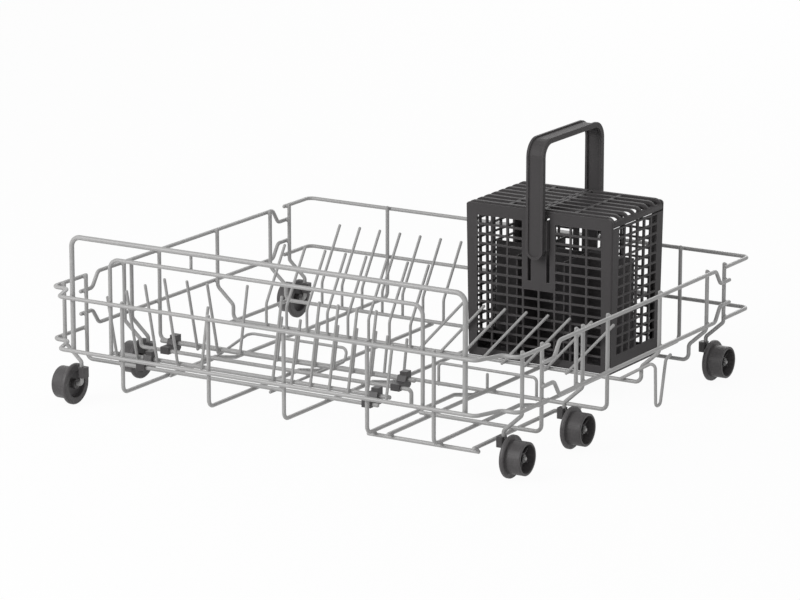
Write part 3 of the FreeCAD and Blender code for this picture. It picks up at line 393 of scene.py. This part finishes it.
# %% [markdown]
# ## Rounded edges on the mouldings
# A mould never has a knife edge: the cutter leaves a small radius, and it is what makes plastic
# catch the light. The CAD panels have sharp edges. A Bevel node only bends the shading, so each
# moulding gets a copy of its solid with the edges really rounded. Flat triangles are first
# dissolved into whole faces, because a bevel runs badly across slivers.

# %% Mouldings with a real edge radius
SAME_POINT = 0.000002
FLAT_WITHIN = math.radians(0.5)
SHARP_FROM = math.radians(35.0)
EDGE_SEGMENTS = 2


def soften(name, radius_mm):
    """A copy of a moulded node with rounded edges, which stands in its place."""
    piece = bpy.data.objects.new(name + "_moulding", nodes[name].data.copy())
    bpy.context.scene.collection.objects.link(piece)
    weld = piece.modifiers.new("one_skin", "WELD")
    weld.merge_threshold = SAME_POINT
    flatten = piece.modifiers.new("whole_faces", "DECIMATE")
    flatten.decimate_type = "DISSOLVE"
    flatten.angle_limit = FLAT_WITHIN
    edge = piece.modifiers.new("edge_radius", "BEVEL")
    edge.width = radius_mm / MM_PER_M
    edge.segments = EDGE_SEGMENTS
    edge.limit_method = "ANGLE"
    edge.angle_limit = SHARP_FROM
    edge.harden_normals = True
    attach(piece, body_of[name])
    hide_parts(name)
    return piece


EDGE_RADII_MM = {"basket_front_wall": 0.4, "basket_back_wall": 0.4, "basket_side_walls": 0.4,
                 "basket_floor": 0.4, "basket_cross_bar": 0.6, "basket_divider": 0.35,
                 "basket_handle": 0.5, "left_grille_lid": 0.5, "right_grille_lid": 0.5,
                 "axle_saddles": 0.5}
EDGE_RADII_MM.update({name: 0.45 for name in nodes if name.endswith("_row_clip")})
EDGE_RADII_MM.update({name: 0.35 for name in nodes if name.endswith("_wheel")})
mouldings = [soften(name, radius_mm) for name, radius_mm in EDGE_RADII_MM.items()]
print("mouldings with rounded edges:", len(mouldings))

# %% [markdown]
# ## Finding the welds
# Wires are welded wherever two of them touch. Listing about 150 places by hand would be slow and
# would go wrong with the first change, so the script finds them. On a round wire, a point of the
# surface moved in along its normal by the wire's radius lands on the centre line. That turns each
# mesh into line segments, and a weld is where two of them pass at the sum of their radii. Edges
# round the wire shrink to a point in this way, so very short segments are left out.

# %% Centre lines of the wires
FRAME_WIRE_MM = 4.0
TINE_WIRE_MM = 3.0
OTHER_WIRES_MM = {"pull_handle_hoop": 5.0, "front_fold_pivot_wire": 4.5,
                  "rear_fold_pivot_wire": 4.5, "stop_loop": 3.2, "tine_rest": 3.0,
                  "basket_rail": 3.0, "hoop_strut": 3.0}
STEP_MM = 0.05
SHORTEST_STEPS = 4


def wire_radius(name):
    usual = TINE_WIRE_MM if name.endswith("_tines") else FRAME_WIRE_MM
    return OTHER_WIRES_MM.get(name, usual) / 2 / MM_PER_M


def centre_segments(name):
    """Line segments along the middle of a node's wires, each as two points."""
    mesh = nodes[name].data
    corner_normals = np.zeros(len(mesh.loops) * 3)
    mesh.corner_normals.foreach_get("vector", corner_normals)
    points = np.array([mesh.vertices[loop.vertex_index].co for loop in mesh.loops])
    middles = points - corner_normals.reshape(-1, 3) * wire_radius(name)
    steps = np.round(middles * MM_PER_M / STEP_MM).astype(int)
    found = {}
    for face in mesh.polygons:
        corners = list(face.loop_indices)
        for a, b in zip(corners, corners[1:] + corners[:1]):
            ends = tuple(sorted((tuple(steps[a]), tuple(steps[b]))))
            if sum((p - q) ** 2 for p, q in zip(*ends)) > SHORTEST_STEPS ** 2:
                found[ends] = (middles[a], middles[b])
    return np.array(list(found.values()))


wires = [name for name in sorted(nodes) if slot_of[name] == "coated_wire"]
centre_lines = {name: centre_segments(name) for name in wires}
print("wire nodes:", len(wires), "segments:", sum(len(s) for s in centre_lines.values()))

# %% [markdown]
# The nearest points of two segments come from a small linear system, and numpy solves it for all
# pairs at once. Near-parallel runs have no single nearest point and are left out: on this rack,
# every welded pair crosses.

# %% Nearest points of two wires
LEAST_SINE_SQUARED = 0.02


def crossings(first, second):
    """Which segments of two wires cross, their nearest points, gaps and first directions."""
    p = first[:, None, 0]
    q = second[None, :, 0]
    u = first[:, None, 1] - p
    v = second[None, :, 1] - q
    w = p - q
    uu, vv, uv = (u * u).sum(-1), (v * v).sum(-1), (u * v).sum(-1)
    uw, vw = (u * w).sum(-1), (v * w).sum(-1)
    spread = uu * vv - uv * uv
    crossing = spread > LEAST_SINE_SQUARED * uu * vv
    s = np.where(crossing, (uv * vw - vv * uw) / np.where(crossing, spread, 1), 0)
    s = np.clip(s, 0, 1)
    t = np.clip((uv * s + vw) / vv, 0, 1)
    s = np.clip((uv * t - uw) / uu, 0, 1)
    here = p + u * s[..., None]
    there = q + v * t[..., None]
    gap = np.linalg.norm(here - there, axis=-1)
    return crossing, here, there, gap, np.broadcast_to(u, here.shape)


print("segments count as crossing from a squared sine of", LEAST_SINE_SQUARED)

# %% [markdown]
# Two wires touch where their centre lines pass at the sum of their radii, give or take the coating.
# A bend is many short segments, so one weld can be found more than once, and places that lie close
# together count as one.

# %% Contacts between wires
LEAST_REACH = 0.9
COATING_GAP = 0.0004
SAME_WELD = 0.004


def welds_between(a, b):
    """Places where two nodes' wires touch: middle, line across, first wire's line, and reach."""
    reach = wire_radius(a) + wire_radius(b)
    crossing, here, there, gap, along = crossings(centre_lines[a], centre_lines[b])
    places = []
    touching = crossing & (gap > LEAST_REACH * reach) & (gap < reach + COATING_GAP)
    for i, j in np.argwhere(touching):
        across = there[i, j] - here[i, j]
        middle = here[i, j] + across * wire_radius(a) / reach
        if all(np.linalg.norm(middle - other[0]) > SAME_WELD for other in places):
            places.append((middle, across, along[i, j], reach))
    return places


def all_welds(names):
    found = []
    for i, a in enumerate(names):
        for b in names[i + 1:]:
            found += welds_between(a, b)
    return found


welds = {}
for body in ("rack", "front_fold_row", "rear_fold_row"):
    welds[body] = all_welds([name for name in wires if body_of[name] == body])
    print("welds on", body + ":", len(welds[body]))

# %% [markdown]
# ## The welds
# A resistance weld squeezes the two wires together, and the nylon then fills the corner round it.
# What shows is a small soft pillow between the wires. A sphere pressed flat along the line between
# the wires gives that form. It swells a little along one wire and square to it, and seeded chance
# makes no two alike.

# %% Pillows of coating at the welds
SEED = 7
RINGS, SIDES = 9, 16
PILLOW_WIDTHS = (0.56, 0.64)
PILLOW_HEIGHTS = (0.36, 0.42)
SWELL, SWELLS_PER_TURN = 0.06, 4
chance = np.random.default_rng(SEED)


def pillow(middle, across, along, reach):
    """Points of one weld's pillow of coating."""
    n = across / np.linalg.norm(across)
    d = along - n * np.dot(along, n)
    d = d / np.linalg.norm(d)
    e = np.cross(n, d)
    wide = reach * chance.uniform(*PILLOW_WIDTHS, 2)
    high = reach * chance.uniform(*PILLOW_HEIGHTS)
    points = []
    for ring in range(1, RINGS):
        tilt = math.pi * ring / RINGS
        for side in range(SIDES):
            turn = 2 * math.pi * side / SIDES
            swell = 1.0 + SWELL * math.cos(SWELLS_PER_TURN * turn)
            flat = math.sin(tilt) * swell
            points.append(middle + d * wide[0] * flat * math.cos(turn)
                          + e * wide[1] * flat * math.sin(turn) + n * high * math.cos(tilt))
    return [middle + n * high] + points + [middle - n * high]


def pillow_faces(start):
    """Faces of one pillow whose points begin at start."""
    last = start + 1 + (RINGS - 1) * SIDES
    faces = []
    for side in range(SIDES):
        after = (side + 1) % SIDES
        faces.append((start, start + 1 + side, start + 1 + after))
        for ring in range(RINGS - 2):
            row = start + 1 + ring * SIDES
            faces.append((row + side, row + SIDES + side, row + SIDES + after, row + after))
        row = last - SIDES
        faces.append((last, row + after, row + side))
    return faces


print("points of one pillow:", 2 + (RINGS - 1) * SIDES)

# %% [markdown]
# The pillows of one body become one mesh, which rides on that body, so the welds of a folding row
# turn with its tines.

# %% One piece of welds for each body
def weld_piece(body, places):
    points, faces = [], []
    for place in places:
        faces += pillow_faces(len(points))
        points += pillow(*place)
    mesh = bpy.data.meshes.new(body + "_welds")
    mesh.from_pydata([tuple(p) for p in points], [], faces)
    mesh.shade_smooth()
    mesh.materials.append(wire_material)
    piece = bpy.data.objects.new(body + "_welds", mesh)
    bpy.context.scene.collection.objects.link(piece)
    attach(piece, body)
    return piece


weld_pieces = [weld_piece(body, places) for body, places in welds.items() if places]
print("weld pieces:", [(piece.name, len(piece.data.vertices)) for piece in weld_pieces])

# %% [markdown]
# ## Floor and background
# The rack stands on white with hardly a shadow. The floor is a pale plane that takes the shadow in
# its diffuse part. Rays from the camera, and from reflections, see it mostly as plain white, so the
# background stays white without more light on the rack.

# %% A pale floor
DIRECT_RAYS = ("Is Camera Ray", "Is Glossy Ray", "Is Transmission Ray")
PLAIN_WHITE = grey(1.0)
FLOOR_TONE = grey(0.86)
FLOOR_WHITENESS = 0.95
FLOOR_HALF = 15.0
FLOOR_DROP = 0.0002
SQUARE = ((-1, -1), (1, -1), (1, 1), (-1, 1))


def seen_directly(finish):
    path = finish.node("ShaderNodeLightPath")
    seen, mirrored, through = [path.beside(name) for name in DIRECT_RAYS]
    return seen.most(mirrored).most(through)


def pale_floor():
    finish = Finish("pale_floor")
    finish.surface(Base_Color=FLOOR_TONE, Roughness=0.9, Specular_IOR_Level=0.1)
    glow = finish.node("ShaderNodeEmission", sockets={"Color": PLAIN_WHITE, "Strength": 1.0})
    share = FLOOR_WHITENESS * seen_directly(finish)
    plane = Value(finish.shader.outputs[0])
    both = finish.node("ShaderNodeMixShader", sockets={0: share, 1: plane, 2: glow})
    feed(finish.tree.nodes["Material Output"].inputs["Surface"], both)
    return finish.material


floor_mesh = bpy.data.meshes.new("floor")
floor_corners = [(x * FLOOR_HALF, y * FLOOR_HALF, -FLOOR_DROP) for x, y in SQUARE]
floor_mesh.from_pydata(floor_corners, [], [(0, 1, 2, 3)])
floor_mesh.materials.append(pale_floor())
floor = bpy.data.objects.new("floor", floor_mesh)
bpy.context.scene.collection.objects.link(floor)
print("floor half width:", FLOOR_HALF)

# %% [markdown]
# The world works in the same way: rays that see it directly find white, and all others get a
# weaker even light, which fills the shadows. It has a node tree like a material's, so the tools of
# a finish serve for it.

# %% A white world
AMBIENT = 0.45


class Sky(Finish):
    """The world's own node tree, with the tools of a finish."""

    def __init__(self, level):
        world = bpy.data.worlds.new("studio")
        world.use_nodes = True
        bpy.context.scene.world = world
        self.tree = world.node_tree
        background = self.tree.nodes["Background"]
        feed(background.inputs["Strength"], level + (1.0 - level) * seen_directly(self))
        feed(background.inputs["Color"], PLAIN_WHITE)


Sky(AMBIENT)
print("ambient light:", AMBIENT)

# %% [markdown]
# ## Studio light
# The front of the basket is lighter than its right side, and tops of wires are lighter than their
# undersides, with soft edges: a large lamp stands in front, up and to the left, with weaker ones
# on the right and behind. An area lamp of P watts at d metres lights a face as P / (pi d)^2 of
# full white, so the powers are worked out from the share of white that each should give.

# %% Three soft lamps
AIM = Vector((0.0, 0.0, 0.1))


def soft_lamp(name, direction, distance, size, share):
    lamp = bpy.data.lights.new(name, "AREA")
    lamp.shape = "DISK"
    lamp.size = size
    lamp.energy = share * (math.pi * distance) ** 2
    holder = bpy.data.objects.new(name, lamp)
    away = Vector(direction).normalized()
    holder.location = AIM + away * distance
    holder.rotation_euler = (-away).to_track_quat("-Z", "Y").to_euler()
    bpy.context.scene.collection.objects.link(holder)
    return lamp


lamps = [soft_lamp("front_lamp", (-0.45, -0.95, 0.6), distance=2.6, size=1.8, share=0.64),
         soft_lamp("right_lamp", (1.0, -0.35, 0.6), distance=2.8, size=1.6, share=0.08),
         soft_lamp("back_lamp", (-0.2, 1.0, 0.45), distance=2.8, size=1.8, share=0.18)]
print("lamps:", [(lamp.name, round(lamp.energy, 1)) for lamp in lamps])

# %% [markdown]
# ## Camera
# The wires run along three directions, and where each family meets in the picture gives the lens
# and the angle: a long lens from the front right, about 14 degrees above the floor.

# %% The photograph's camera
LENS_MM = 186.84
SENSOR_MM = 36.0
CAMERA_PLACE = Vector((2.0985, -3.44085, 1.1004))
CAMERA_LOOK = Vector((-0.5048, 0.8286, -0.2421))
camera_data = bpy.data.cameras.new("camera")
camera_data.lens = LENS_MM
camera_data.sensor_width = SENSOR_MM
camera_data.sensor_fit = "HORIZONTAL"
camera = bpy.data.objects.new("camera", camera_data)
camera.location = CAMERA_PLACE
camera.rotation_euler = CAMERA_LOOK.to_track_quat("-Z", "Y").to_euler()
bpy.context.scene.collection.objects.link(camera)
bpy.context.scene.camera = camera
bpy.context.scene.view_settings.view_transform = "Standard"
print("camera lens:", LENS_MM)
